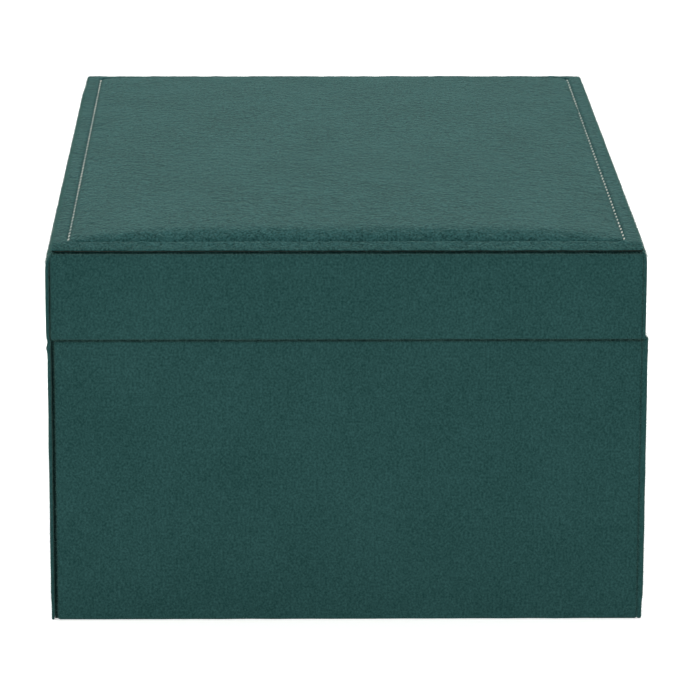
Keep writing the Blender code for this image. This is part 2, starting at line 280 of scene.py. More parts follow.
# ---------------------------------------------------------------------------------------------
# Outer covers: short pile velvet drawn round thin card, one wrapped panel to each face. The end
# panels stand between the long covers, with a pressed groove at the back and a hairline in front.
# ---------------------------------------------------------------------------------------------
BASE_OUTSIDE = ("base_left_cover", "base_right_cover", "base_front_cover", "base_bottom_cover")
LID_OUTSIDE = ("lid_left_cover", "lid_right_cover", "lid_front_cover")
COVER_EDGE = 0.0005
COVER_SPACING = 0.0025
COVER_WAVE = 0.00006
COVER_WAVE_SIZE = 0.006
BASE_COVER_TOP = 0.06168
LID_COVER_LOW = 0.06195
LID_END_COVER_TOP = 0.0805
END_COVER_LAP = 0.0007
BASE_GROOVE = 0.0007
LID_GROOVE = 0.00025
BACK_THICKNESS = 0.00075
LID_BACK_SHIFT = 0.00025
FRONT_FULLNESS = 0.00015
FRONT_SHOULDER = 0.0022
FRONT_SHOULDER_DEPTH = 0.0006
SHOULDER_CUTS = (1.0, 0.8, 0.6, 0.4, 0.25, 0.12)
SHOULDER_INNER_PULL = 0.7
FRONT_FOOT_DEPTH = 0.00028
FOOT_HEIGHT = 0.0065
FOOT_FULL_HEIGHT = 0.0025
FOOT_CUTS = (0.0012, 0.0025, 0.0038, 0.0052)
CORNER_LIFT = 0.0009
CORNER_LIFT_HEIGHT = 0.002
CORNER_LIFT_REACH = 0.0022
CORNER_LIFT_RUN = 0.0018


def make_velvet(name, dark, light, sheen, ripple):
    """Short pile polyester velvet, woven and sheared: the pile drinks light face on and turns pale
    and milky at a low angle. The nap lies in faint patches about 17 mm across, with a speck of lint
    every 20 mm or so. Tufts are drawn 0.5 mm apart, coarser than real ones, so that they show.
    ripple is the depth in metres of the 1.6 mm waves of brushed pile."""
    material, tree, surface = new_material(name)
    coords = add_node(tree, "ShaderNodeTexCoord", {}).outputs["Object"]
    tufts = add_node(
        tree, "ShaderNodeTexNoise", {"Vector": coords, "Scale": 2100.0, "Detail": 3.0, "Roughness": 0.6}
    )
    nap = add_node(
        tree, "ShaderNodeTexNoise", {"Vector": coords, "Scale": 60.0, "Detail": 2.0, "Roughness": 0.5}
    )
    waves = add_node(
        tree,
        "ShaderNodeTexNoise",
        {"Vector": coords, "Scale": 620.0, "Detail": 3.0, "Roughness": 0.55, "Distortion": 0.8},
    )
    lint = add_node(tree, "ShaderNodeTexVoronoi", {"Vector": coords, "Scale": 44.0})
    speck = add_node(
        tree, "ShaderNodeMapRange", {0: lint.outputs["Distance"], 1: 0.006, 2: 0.014, 3: 0.8, 4: 0.0}
    )
    tuft_share = add_node(tree, "ShaderNodeMapRange", {0: tufts.outputs["Fac"], 1: 0.3, 2: 0.7})
    nap_share = add_node(
        tree, "ShaderNodeMapRange", {0: nap.outputs["Fac"], 1: 0.3, 2: 0.7, 3: -0.07, 4: 0.07}
    )
    wave_share = add_node(
        tree, "ShaderNodeMapRange", {0: waves.outputs["Fac"], 1: 0.3, 2: 0.7, 3: -0.14, 4: 0.14}
    )
    share = add_node(
        tree, "ShaderNodeMath", {0: nap_share.outputs[0], 1: wave_share.outputs[0]}, operation="ADD"
    )
    share = add_node(
        tree, "ShaderNodeMath", {0: share.outputs[0], 1: tuft_share.outputs[0]}, operation="ADD"
    )
    pile = add_node(
        tree,
        "ShaderNodeMix",
        {0: share.outputs[0], 6: linear(dark), 7: linear(light)},
        data_type="RGBA",
    )
    colour = add_node(
        tree,
        "ShaderNodeMix",
        {0: speck.outputs[0], 6: pile.outputs[2], 7: linear("#B9C4BC")},
        data_type="RGBA",
    )
    wave_bump = add_node(
        tree, "ShaderNodeBump", {"Height": waves.outputs["Fac"], "Distance": ripple, "Strength": 1.0}
    )
    tuft_bump = add_node(
        tree,
        "ShaderNodeBump",
        {
            "Height": tufts.outputs["Fac"],
            "Distance": 0.00016,
            "Strength": 0.8,
            "Normal": wave_bump.outputs["Normal"],
        },
    )
    shader = add_node(
        tree,
        "ShaderNodeBsdfPrincipled",
        {
            "Base Color": colour.outputs[2],
            "Roughness": 0.95,
            "Specular IOR Level": 0.15,
            "Sheen Weight": sheen,
            "Sheen Roughness": 0.32,
            "Sheen Tint": linear("#C4FFEC"),
            "Normal": tuft_bump.outputs["Normal"],
        },
    )
    tree.links.new(shader.outputs["BSDF"], surface)
    return material


def rounded_slab(low, high, radius, spacing, segments=3):
    """A box with every edge rounded, divided along each run so that cloth over it can wave."""
    low, high = Vector(low), Vector(high)
    size = high - low
    bm = bmesh.new()
    bmesh.ops.create_cube(bm, size=1.0)
    bmesh.ops.scale(bm, vec=size, verts=bm.verts)
    bmesh.ops.translate(bm, vec=(low + high) / 2, verts=bm.verts)
    radius = min(radius, min(size) * 0.45)
    bmesh.ops.bevel(
        bm,
        geom=bm.edges[:],
        offset=radius,
        offset_type="OFFSET",
        segments=segments,
        profile=0.5,
        affect="EDGES",
        material=-1,
    )
    for axis in range(3):
        run = size[axis] - 2 * radius
        cuts = int(run / spacing)
        along = [e for e in bm.edges if abs((e.verts[1].co - e.verts[0].co)[axis]) > run * 0.98]
        if cuts:
            bmesh.ops.subdivide_edges(bm, edges=along, cuts=cuts, use_grid_fill=True)
    return bm


def wave(bm, depth, size, seed):
    """Moves each vertex along its normal by soft noise, as cloth lies over a glued edge, but not
    through the table. Every seed gives other noise."""
    bm.normal_update()
    shift = Vector((seed * 7.3, seed * 3.1, seed * 5.7))
    moves = [(v, v.normal * noise.noise(v.co / size + shift) * depth) for v in bm.verts]
    for vertex, move in moves:
        vertex.co += move
        vertex.co.z = max(vertex.co.z, 0.0)


def make_piece(name, bm, material):
    """A smooth shaded object with its place in its mesh."""
    bmesh.ops.recalc_face_normals(bm, faces=bm.faces)
    mesh = bpy.data.meshes.new(name)
    bm.to_mesh(mesh)
    bm.free()
    mesh.materials.append(material)
    mesh.shade_smooth()
    piece = bpy.data.objects.new(name, mesh)
    bpy.context.scene.collection.objects.link(piece)
    return piece


def cut_across(bm, axis, places):
    """Adds edge loops where a slab is cut by planes square to an axis."""
    for place in places:
        point = Vector()
        point[axis] = place
        normal = Vector()
        normal[axis] = 1.0
        whole = bm.verts[:] + bm.edges[:] + bm.faces[:]
        bmesh.ops.bisect_plane(bm, geom=whole, plane_co=point, plane_no=normal)


def clamped(share):
    """A share held between nothing and the whole."""
    return max(0.0, min(1.0, share))


def eased(share):
    """A share that starts and ends gently."""
    return share * share * (3 - 2 * share)


def round_over(bm, outside, top, height, depth):
    """Draws the top of a long cover in towards the box, as cloth pulled over a soft corner."""
    cut_across(bm, 2, [top - height * share for share in SHOULDER_CUTS])
    for vertex in bm.verts:
        share = clamped((vertex.co.z - top + height) / height)
        outermost = 1 - min(1.0, abs(outside - vertex.co.y) / BACK_THICKNESS)
        pull = SHOULDER_INNER_PULL + (1 - SHOULDER_INNER_PULL) * outermost
        vertex.co.y -= math.copysign(depth, outside) * pull * share * share


def round_under(bm, outside, depth):
    """Draws the outer face of a long cover in slightly towards its foot."""
    cut_across(bm, 2, FOOT_CUTS)
    for vertex in bm.verts:
        share = clamped((FOOT_HEIGHT - vertex.co.z) / (FOOT_HEIGHT - FOOT_FULL_HEIGHT))
        outermost = 1 - min(1.0, abs(outside - vertex.co.y) / BACK_THICKNESS)
        vertex.co.y -= math.copysign(depth, outside) * outermost * eased(share)


velvet = make_velvet("velvet_short_pile", "#0E3230", "#284C4B", 0.14, 0.00008)

PILE_LENGTH = 0.00058
PILE_RADIUS = 0.000022
PILE_PER_SQUARE_METRE = 2.1e7
PILE_TILT = 0.6
PILE_SHORTEST = 0.4
PILE_LONGEST = 1.2
FLAT_NORMAL = 0.985


def make_pile():
    """Single velvet fibres seen against the light: round and matt, so they show paler than the cloth."""
    material, tree, surface = new_material("velvet_fibre")
    shader = add_node(
        tree,
        "ShaderNodeBsdfPrincipled",
        {"Base Color": linear("#426B65"), "Roughness": 0.8, "Specular IOR Level": 0.3},
    )
    tree.links.new(shader.outputs["BSDF"], surface)
    return material


pile_fibre = make_pile()


def grow_pile(cover, name, seed, grows=lambda place: True):
    """The loose fibres that stand off a cover's rounded edges, as one mesh of thin three sided cones.
    They are thicker than real fibres, so that they show. None grow where a cover is flat or stands
    on the table."""
    source = bpy.data.objects.new(name, cover.data.copy())
    bpy.context.scene.collection.objects.link(source)
    mesh = source.data
    share = mesh.attributes.new("edge_share", "FLOAT", "POINT")
    for vertex, row in zip(mesh.vertices, share.data):
        flat = max(abs(component) for component in vertex.normal)
        on_floor = vertex.co.z < 0.001 and vertex.normal.z < -0.2
        row.value = 0.0 if flat > FLAT_NORMAL or on_floor or not grows(vertex.co) else 1.0
    tree = bpy.data.node_groups.new(name, "GeometryNodeTree")
    tree.interface.new_socket("Geometry", in_out="INPUT", socket_type="NodeSocketGeometry")
    tree.interface.new_socket("Geometry", in_out="OUTPUT", socket_type="NodeSocketGeometry")
    skin = add_node(tree, "NodeGroupInput", {}).outputs[0]
    chosen = add_node(tree, "GeometryNodeInputNamedAttribute", {"Name": "edge_share"}, data_type="FLOAT")
    roots = add_node(
        tree,
        "GeometryNodeDistributePointsOnFaces",
        {"Mesh": skin, "Density": PILE_PER_SQUARE_METRE, "Seed": seed},
    )
    picked = add_node(
        tree,
        "FunctionNodeCompare",
        {0: chosen.outputs[0], 1: 0.5},
        data_type="FLOAT",
        operation="GREATER_THAN",
    )
    tree.links.new(picked.outputs[0], roots.inputs["Selection"])
    fibre = add_node(
        tree,
        "GeometryNodeMeshCone",
        {"Vertices": 3, "Radius Top": 0.0, "Radius Bottom": PILE_RADIUS, "Depth": PILE_LENGTH},
    )
    lean = add_node(
        tree,
        "FunctionNodeRandomValue",
        {0: (-PILE_TILT, -PILE_TILT, 0.0), 1: (PILE_TILT, PILE_TILT, math.tau), "Seed": seed + 1},
        data_type="FLOAT_VECTOR",
    )
    lean_turn = add_node(tree, "FunctionNodeEulerToRotation", {0: lean.outputs[0]})
    stand = add_node(
        tree,
        "FunctionNodeRotateRotation",
        {0: roots.outputs["Rotation"], 1: lean_turn.outputs[0]},
        rotation_space="LOCAL",
    )
    length = add_node(
        tree,
        "FunctionNodeRandomValue",
        {2: PILE_SHORTEST, 3: PILE_LONGEST, "Seed": seed + 2},
        data_type="FLOAT",
    )
    planted = add_node(
        tree,
        "GeometryNodeInstanceOnPoints",
        {
            "Points": roots.outputs["Points"],
            "Instance": fibre.outputs["Mesh"],
            "Rotation": stand.outputs[0],
            "Scale": length.outputs[1],
        },
    )
    grown = add_node(tree, "GeometryNodeRealizeInstances", {0: planted.outputs[0]})
    add_node(tree, "NodeGroupOutput", {0: grown.outputs[0]})
    source.modifiers.new("pile", "NODES").node_group = tree
    bpy.context.view_layer.update()
    made = bpy.data.meshes.new_from_object(source.evaluated_get(bpy.context.evaluated_depsgraph_get()))
    bpy.data.objects.remove(source)
    made.name = name
    made.materials.clear()
    made.materials.append(pile_fibre)
    fringe = bpy.data.objects.new(name, made)
    bpy.context.scene.collection.objects.link(fringe)
    return fringe


back_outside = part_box("base_back_cover")[1].y
for seed, node in enumerate(BASE_OUTSIDE + LID_OUTSIDE):
    low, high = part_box(node)
    if node in ("base_left_cover", "base_right_cover"):
        low.y -= END_COVER_LAP
        high.y = back_outside - BACK_THICKNESS - BASE_GROOVE
    if node in ("lid_left_cover", "lid_right_cover"):
        low.y -= END_COVER_LAP
        high.y = back_outside + LID_BACK_SHIFT - BACK_THICKNESS - LID_GROOVE
        high.z = LID_END_COVER_TOP
    if node == "base_front_cover":
        low.y -= FRONT_FULLNESS
    if node.startswith("base") and node != "base_bottom_cover":
        high.z = BASE_COVER_TOP
    if node.startswith("lid"):
        low.z = LID_COVER_LOW
    bm = rounded_slab(low, high, COVER_EDGE, COVER_SPACING)
    wave(bm, COVER_WAVE, COVER_WAVE_SIZE, seed)
    if node == "lid_front_cover":
        round_over(bm, low.y, high.z, FRONT_SHOULDER, FRONT_SHOULDER_DEPTH)
    if node == "base_front_cover":
        round_under(bm, low.y, FRONT_FOOT_DEPTH)
        for vertex in bm.verts:
            if vertex.co.y < low.y + COVER_EDGE and vertex.co.z > high.z - CORNER_LIFT_HEIGHT:
                share = clamped((low.x + CORNER_LIFT_REACH - vertex.co.x) / CORNER_LIFT_RUN)
                vertex.co.z += CORNER_LIFT * eased(share)
    cover = make_piece(f"{node}_velvet", bm, velvet)
    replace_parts(cover, node)
    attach(cover, node.split("_")[0])
    fringe = grow_pile(cover, f"{node}_pile", seed)
    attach(fringe, node.split("_")[0])

# Where the covers stop short, the velvet is turned in over the board, so no board shows in a groove. This
# turned in velvet is painted darker than the covers and has almost no sheen: painted shade for the grooves.
groove_shade_velvet = make_velvet("velvet_turn_in_painted_shade", "#041C1B", "#0F2E2D", 0.02, 0.00005)
TURN_IN = 0.00016
TURN_IN_GAP = 0.00004
TURN_IN_LAP = 0.0004
TURN_IN_FRONT_LAP = 0.0003
TURN_IN_BACK_LAP = 0.0010
TURN_IN_EDGE = TURN_IN * 0.4
TURN_IN_SPACING = 0.006


def add_turn_in(name, body, low, high):
    """One strip of turned in velvet between two corners."""
    turn_in = make_piece(name, rounded_slab(low, high, TURN_IN_EDGE, TURN_IN_SPACING), groove_shade_velvet)
    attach(turn_in, body)


board_low, board_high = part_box("lid_top_board")
for body in ("base", "lid"):
    for side, sign in (("left", -1), ("right", 1)):
        wall_low, wall_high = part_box(f"{body}_{side}_cover")
        inner = sign * (board_high.x + TURN_IN_GAP)
        outer = sign * (board_high.x + TURN_IN_GAP + TURN_IN)
        add_turn_in(
            f"{body}_{side}_turn_in_velvet",
            body,
            (min(inner, outer), wall_low.y - TURN_IN_FRONT_LAP, wall_low.z),
            (max(inner, outer), wall_high.y + TURN_IN_BACK_LAP, wall_high.z),
        )
add_turn_in(
    "lid_top_turn_in_velvet",
    "lid",
    (board_low.x, board_low.y - TURN_IN_LAP, board_high.z + TURN_IN_GAP),
    (board_high.x, board_high.y + TURN_IN_LAP, board_high.z + TURN_IN_GAP + TURN_IN),
)

# ---------------------------------------------------------------------------------------------
# Back and hinge: one length of the same velvet, glued to the back of the base and of the lid and
# left free between them, where it bends as the hinge.
# ---------------------------------------------------------------------------------------------
HINGE_START = Vector((0, 0.0635, 0.0568))
HINGE_END = Vector((0, 0.0635, 0.0668))
HINGE_SPACING = 0.0012
HINGE_STEP = 0.0004
BACK_NOTCH = 0.0003
BACK_NOTCH_SIZE = 0.0007
HINGE_BULGE = 0.0003
HINGE_BULGE_SIZE = 0.0012
HINGE_BULGE_DROP = 0.0012
LID_SHOULDER = 0.0040
LID_SHOULDER_DEPTH = 0.0013
BACK_FOOT_DEPTH = 0.00014
BACK_SEED = 20

base_low, base_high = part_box("base_back_cover")
lid_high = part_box("lid_back_cover")[1]
bm = rounded_slab(
    (base_low.x, base_high.y - BACK_THICKNESS, base_low.z),
    (base_high.x, base_high.y, lid_high.z),
    COVER_EDGE,
    HINGE_SPACING,
)
round_over(bm, base_high.y, lid_high.z, LID_SHOULDER, LID_SHOULDER_DEPTH)
round_under(bm, base_high.y, BACK_FOOT_DEPTH)
hinge_height = (HINGE_START.z + HINGE_END.z) / 2
for vertex in bm.verts:
    above = vertex.co.z - hinge_height
    notch = math.exp(-((above / BACK_NOTCH_SIZE) ** 2))
    bulge = math.exp(-(((above + HINGE_BULGE_DROP) / HINGE_BULGE_SIZE) ** 2))
    vertex.co.y += LID_BACK_SHIFT * clamped(above / HINGE_STEP + 0.5)
    if vertex.co.y > base_high.y - BACK_THICKNESS / 2:
        vertex.co.y += HINGE_BULGE * bulge - BACK_NOTCH * notch
wave(bm, COVER_WAVE, COVER_WAVE_SIZE, BACK_SEED)
back = make_piece("back_and_hinge_velvet", bm, velvet)
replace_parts(back, "base_back_cover", "hinge_cloth", "lid_back_cover")
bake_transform(back)
back_pile = grow_pile(back, "back_and_hinge_pile", BACK_SEED)
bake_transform(back_pile)

# ---------------------------------------------------------------------------------------------
# Linings: microfibre suede over card inside the walls and under the lid, and velvet strips along the two
# rims.
# The ledges that carry the tray and the dividers below it are wrapped the same way.
# ---------------------------------------------------------------------------------------------
LINING_EDGE = 0.00035
LINING_SPACING = 0.004
LINING_WAVE_SIZE = 0.008
LINING_SEED = 30
RIM_INNER = Vector((0.0905, 0.0587))
RIM_OUTER = Vector((0.0942, 0.0627))
RIM_EDGE = 0.00006
BASE_RIM = (0.06152, 0.06172)
LID_RIM = (0.06192, 0.06207)


def make_suede(name, dark, light):
    """Microfibre suede: a knit with its face sanded to a short even nap, so it is matt with a soft
    bloom at low angles, and has darker strokes about 11 mm long where the nap is pushed over. The
    nap is drawn 0.6 mm apart, coarser than real, so that it shows."""
    material, tree, surface = new_material(name)
    coords = add_node(tree, "ShaderNodeTexCoord", {}).outputs["Object"]
    nap = add_node(
        tree, "ShaderNodeTexNoise", {"Vector": coords, "Scale": 1600.0, "Detail": 4.0, "Roughness": 0.6}
    )
    strokes = add_node(
        tree,
        "ShaderNodeTexNoise",
        {"Vector": coords, "Scale": 90.0, "Detail": 3.0, "Roughness": 0.6, "Distortion": 1.2},
    )
    nap_share = add_node(tree, "ShaderNodeMapRange", {0: nap.outputs["Fac"], 1: 0.3, 2: 0.7})
    stroke_share = add_node(
        tree, "ShaderNodeMapRange", {0: strokes.outputs["Fac"], 1: 0.35, 2: 0.65, 3: -0.25, 4: 0.25}
    )
    share = add_node(
        tree, "ShaderNodeMath", {0: nap_share.outputs[0], 1: stroke_share.outputs[0]}, operation="ADD"
    )
    colour = add_node(
        tree,
        "ShaderNodeMix",
        {0: share.outputs[0], 6: linear(dark), 7: linear(light)},
        data_type="RGBA",
    )
    bump = add_node(
        tree, "ShaderNodeBump", {"Height": nap.outputs["Fac"], "Distance": 0.0001, "Strength": 0.6}
    )
    shader = add_node(
        tree,
        "ShaderNodeBsdfPrincipled",
        {
            "Base Color": colour.outputs[2],
            "Roughness": 0.9,
            "Specular IOR Level": 0.2,
            "Sheen Weight": 0.25,
            "Sheen Roughness": 0.5,
            "Sheen Tint": linear("#E4FFF4"),
            "Normal": bump.outputs["Normal"],
        },
    )
    tree.links.new(shader.outputs["BSDF"], surface)
    return material


suede = make_suede("microfibre_suede", "#2A524E", "#3D6C66")


def wrap_node(node, seed, spacing=LINING_SPACING, edge=LINING_EDGE):
    """A suede covered card in place of a plain CAD board."""
    low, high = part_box(node)
    bm = rounded_slab(low, high, edge, spacing)
    wave(bm, COVER_WAVE, LINING_WAVE_SIZE, seed)
    piece = make_piece(f"{node}_suede", bm, suede)
    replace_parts(piece, node)
    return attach(piece, frame["nodes"][node]["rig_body"])


LINING_NODES = ["lid_ceiling", "base_ledge_front", "base_ledge_back"]
LINING_NODES += ["base_divider_long", "base_divider_left", "base_divider_right"]
for side in ("front", "back", "left", "right"):
    LINING_NODES += [f"base_{side}_lining", f"lid_{side}_lining"]
for seed, node in enumerate(LINING_NODES):
    wrap_node(node, LINING_SEED + seed)


def frame_ring(outer, inner, low, high, rounding):
    """A flat rectangular ring with softly rounded edges."""
    bm = bmesh.new()
    bmesh.ops.create_cube(bm, size=1.0)
    bmesh.ops.scale(bm, vec=(2 * outer.x, 2 * outer.y, high - low), verts=bm.verts)
    bmesh.ops.translate(bm, vec=(0, 0, (low + high) / 2), verts=bm.verts)
    caps = [f for f in bm.faces if abs(f.normal.z) > 0.9]
    bmesh.ops.inset_individual(bm, faces=caps, thickness=outer.x - inner.x)
    bmesh.ops.delete(bm, geom=caps, context="FACES_ONLY")
    open_edges = [e for e in bm.edges if e.is_boundary]
    bmesh.ops.bridge_loops(bm, edges=open_edges)
    for vertex in bm.verts:
        if abs(vertex.co.x) < outer.x - 1e-5:
            vertex.co.y = math.copysign(inner.y, vertex.co.y)
    sharp = [e for e in bm.edges if e.is_manifold and e.calc_face_angle(0.0) > 0.5]
    bmesh.ops.bevel(
        bm,
        geom=sharp,
        offset=rounding,
        offset_type="OFFSET",
        segments=3,
        profile=0.5,
        affect="EDGES",
        material=-1,
    )
    return bm


for body, (low, high) in (("base", BASE_RIM), ("lid", LID_RIM)):
    bm = frame_ring(RIM_OUTER, RIM_INNER, low, high, RIM_EDGE)
    strip = make_piece(f"{body}_rim_velvet", bm, velvet)
    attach(strip, body)

# ---------------------------------------------------------------------------------------------
# Floor pad: a sheet of wadding wrapped in the same suede, laid loose on the floor of the base. It
# is thinner towards its edges, where the suede is drawn round it.
# ---------------------------------------------------------------------------------------------
PAD_EDGE = 0.0006
PAD_SPACING = 0.003
PAD_EDGE_DROP = 0.0005
PAD_EDGE_RUN = 0.003
PAD_WAVE = 0.00012
PAD_WAVE_SIZE = 0.02
PAD_SEED = 50

low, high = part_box("base_floor_pad")
bm = rounded_slab(low, high, PAD_EDGE, PAD_SPACING)
for vertex in bm.verts:
    if vertex.co.z > (low.z + high.z) / 2:
        from_edge = min(high.x - abs(vertex.co.x), high.y - abs(vertex.co.y))
        vertex.co.z -= PAD_EDGE_DROP * math.exp(-from_edge / PAD_EDGE_RUN)
wave(bm, PAD_WAVE, PAD_WAVE_SIZE, PAD_SEED)
floor_pad = make_piece("base_floor_pad_suede", bm, suede)
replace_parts(floor_pad, "base_floor_pad")
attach(floor_pad, "base")

# ---------------------------------------------------------------------------------------------
# Tray: suede covered card that rests on the ledges, with dividers in slots and a doubled satin
# ribbon glued inside each end to lift it by.
# ---------------------------------------------------------------------------------------------
TRAY_SPACING = 0.003
TRAY_EDGE = 0.0006
TRAY_SEED = 60
RIBBON_STEP = 0.0005
RIBBON_ROWS = 8
PULL_PLY = 0.00018

TRAY_NODES = ["tray_floor", "tray_divider_long", "tray_divider_left", "tray_divider_right"]
TRAY_NODES += ["tray_divider_rings"] + [f"tray_{side}_wall" for side in ("front", "back", "left", "right")]
for seed, node in enumerate(TRAY_NODES):
    wrap_node(node, TRAY_SEED + seed, TRAY_SPACING, TRAY_EDGE)


def make_ribbon():
    """Polyester satin ribbon: long floats of bright yarn across the width, so the gloss runs along
    the ribbon in cross ribs. They are drawn 0.6 mm apart, coarser than real, so that they show."""
    material, tree, surface = new_material("satin_ribbon_polyester")
    coords = add_node(tree, "ShaderNodeTexCoord", {}).outputs["UV"]
    ribs = add_node(
        tree,
        "ShaderNodeTexWave",
        {"Vector": coords, "Scale": 520.0, "Distortion": 0.4},
        bands_direction="Y",
    )
    tone = add_node(tree, "ShaderNodeTexNoise", {"Vector": coords, "Scale": 300.0, "Detail": 3.0})
    colour = add_node(
        tree,
        "ShaderNodeMix",
        {0: tone.outputs["Fac"], 6: linear("#1D4F4B"), 7: linear("#2F6A64")},
        data_type="RGBA",
    )
    bump = add_node(
        tree, "ShaderNodeBump", {"Height": ribs.outputs["Fac"], "Distance": 0.00004, "Strength": 0.5}
    )
    shader = add_node(
        tree,
        "ShaderNodeBsdfPrincipled",
        {
            "Base Color": colour.outputs[2],
            "Roughness": 0.38,
            "Anisotropic": 0.5,
            "Sheen Weight": 0.15,
            "Sheen Tint": linear("#E4FFF8"),
            "Normal": bump.outputs["Normal"],
        },
    )
    tree.links.new(shader.outputs["BSDF"], surface)
    return material


ribbon_satin = make_ribbon()


def ribbon_piece(name, length, width, thickness, lay):
    """A ribbon cut to length and width and laid by a function that places each point, given its
    distance along the ribbon and across it. Its UV map is in metres across and along."""
    bm = bmesh.new()
    uv = bm.loops.layers.uv.new("ribbon")
    bmesh.ops.create_grid(bm, x_segments=round(length / RIBBON_STEP), y_segments=RIBBON_ROWS, size=0.5)
    for face in bm.faces:
        for loop in face.loops:
            loop[uv].uv = (loop.vert.co.y * width, loop.vert.co.x * length)
    for vertex in bm.verts:
        vertex.co = lay((vertex.co.x + 0.5) * length, vertex.co.y * width)
    piece = make_piece(name, bm, ribbon_satin)
    ply = piece.modifiers.new("ply", "SOLIDIFY")
    ply.thickness = thickness
    ply.offset = 0.0
    return piece


for side in ("left", "right"):
    low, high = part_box(f"tray_pull_{side}")
    middle = (low + high) / 2
    loop = (high.x - low.x - PULL_PLY) / 2
    straight = high.z - PULL_PLY / 2 - loop - low.z

    def lay_pull(along, across):
        """Up one ply, round the loop at the top and down the other ply."""
        turn = max(0.0, min(math.pi, (along - straight) / loop))
        if along < straight:
            rise = along
        elif turn < math.pi:
            rise = straight + loop * math.sin(turn)
        else:
            rise = 2 * straight + math.pi * loop - along
        return Vector((middle.x - loop * math.cos(turn), middle.y + across, low.z + rise))

    pull_size = (high.y - low.y, 2 * straight + math.pi * loop)
    pull = ribbon_piece(f"tray_pull_{side}_satin", pull_size[1], pull_size[0], PULL_PLY, lay_pull)
    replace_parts(pull, f"tray_pull_{side}")
    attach(pull, "tray")

# ---------------------------------------------------------------------------------------------
# Ring rolls: five foam rolls in suede, side by side at the back of the tray, plump enough to
# grip a ring pushed down between them.
# ---------------------------------------------------------------------------------------------
ROLL_INSET = 0.0006
ROLL_EDGE = 0.0032
ROLL_SPACING = 0.002
ROLL_VOXEL = 0.0016
ROLL_PRESSURE = 4.0
ROLL_SWELL = 0.0006
CLOTH_FRAMES = 20


def swell(piece, pressure, cap):
    """Fills a closed skin like a stuffed roll by cloth simulation, each point moving at most cap."""
    start = [v.co.copy() for v in piece.data.vertices]
    cloth = piece.modifiers.new("skin", "CLOTH")
    cloth.settings.use_pressure = True
    cloth.settings.uniform_pressure_force = pressure
    cloth.settings.effector_weights.gravity = 0.0
    cloth.point_cache.frame_start = 1
    cloth.point_cache.frame_end = CLOTH_FRAMES
    for step in range(1, CLOTH_FRAMES + 1):
        bpy.context.scene.frame_set(step)
    settled = piece.evaluated_get(bpy.context.evaluated_depsgraph_get())
    moves = [v.co - s for v, s in zip(settled.data.vertices, start)]
    piece.modifiers.remove(cloth)
    bpy.context.scene.frame_set(1)
    for vertex, begin, move in zip(piece.data.vertices, start, moves):
        length = move.length
        vertex.co = begin + move * (min(length, cap) / length if length > 1e-9 else 0.0)
    piece.data.update()


low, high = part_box("ring_roll_1")
inset = Vector((ROLL_INSET, ROLL_INSET, ROLL_INSET))
bm = rounded_slab(low + inset, high - inset, ROLL_EDGE, ROLL_SPACING, segments=4)
first_roll = make_piece("ring_roll_1_suede", bm, suede)
first_roll.data.remesh_voxel_size = ROLL_VOXEL
bpy.context.view_layer.objects.active = first_roll
bpy.ops.object.voxel_remesh()
swell(first_roll, ROLL_PRESSURE, ROLL_SWELL)
first_roll.data.shade_smooth()
rounding = first_roll.modifiers.new("rounding", "SUBSURF")
rounding.levels = rounding.render_levels = 1
for number in range(1, 6):
    roll = first_roll if number == 1 else first_roll.copy()
    if number > 1:
        roll.data = first_roll.data.copy()
        roll.name = f"ring_roll_{number}_suede"
        roll.data.transform(Matrix.Translation(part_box(f"ring_roll_{number}")[0] - low))
        bpy.context.scene.collection.objects.link(roll)
    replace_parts(roll, f"ring_roll_{number}")
    roll["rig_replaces"] = [f"ring_roll_{number}"]  # a copied roll also names the first one
    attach(roll, "tray")

# ---------------------------------------------------------------------------------------------
# Mirror: silvered float glass in a suede covered card frame, glued to the lining of the lid with
# a hairline left round the glass.
# ---------------------------------------------------------------------------------------------
GLASS_GAP = 0.0003
FRAME_EDGE = 0.0008


def make_mirror():
    """Silvered float glass: the silver shows through clear glass, with a trace of polishing haze."""
    material, tree, surface = new_material("silvered_glass")
    coords = add_node(tree, "ShaderNodeTexCoord", {}).outputs["Object"]
    haze = add_node(tree, "ShaderNodeTexNoise", {"Vector": coords, "Scale": 120.0, "Detail": 5.0})
    rough = add_node(tree, "ShaderNodeMapRange", {0: haze.outputs["Fac"], 3: 0.01, 4: 0.04})
    shader = add_node(
        tree,
        "ShaderNodeBsdfPrincipled",
        {"Base Color": linear("#EEF4F1"), "Metallic": 1.0, "Roughness": rough.outputs[0]},
    )
    tree.links.new(shader.outputs["BSDF"], surface)
    return material


finish_node("mirror_glass", make_mirror())
low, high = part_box("mirror_frame")
glass_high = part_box("mirror_glass")[1]
opening = Vector((glass_high.x + GLASS_GAP, glass_high.y + GLASS_GAP))
bm = frame_ring(Vector((high.x, high.y)), opening, low.z, high.z, FRAME_EDGE)
mirror_frame = make_piece("mirror_frame_suede", bm, suede)
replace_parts(mirror_frame, "mirror_frame")
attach(mirror_frame, "lid")

# ---------------------------------------------------------------------------------------------
# Padded top: velvet over card and thin foam, its hem folded under and sewn through close to the
# edge, so the pad rises inside the seam and the pile puckers along it.
# ---------------------------------------------------------------------------------------------
PANEL_HALF = Vector((0.0944, 0.0624))
PANEL_CENTRE_Y = 0.00015
PANEL_EDGE_TOP = 0.08275
PANEL_SINK = 0.00008
PANEL_EDGE = 0.00070
PANEL_SPACING = 0.0008
PANEL_WAVE = 0.00007
PANEL_WAVE_SIZE = 0.003
PANEL_SEED = 90
PANEL_PILE_SEED = 30
SEAM_CUTS = (-0.0009, -0.0005, -0.0002, 0.0002, 0.0005, 0.0009)
SEAM_INSET = 0.0035
SEAM_CORNER = 0.0020
SEAM_DEPTH = 0.00045
SEAM_HALF_WIDTH = 0.00045
CROWN_LEFT = 0.00225
CROWN_RIGHT = 0.00075
CROWN_REACH_LEFT = 0.0020
CROWN_REACH_RIGHT = 0.0018
CROWN_REACH_SIDES = 0.0009
CROWN_REACH_ACROSS = 0.012
CROWN_CURVE = 1.3
SIDE_CROWN = 0.00045
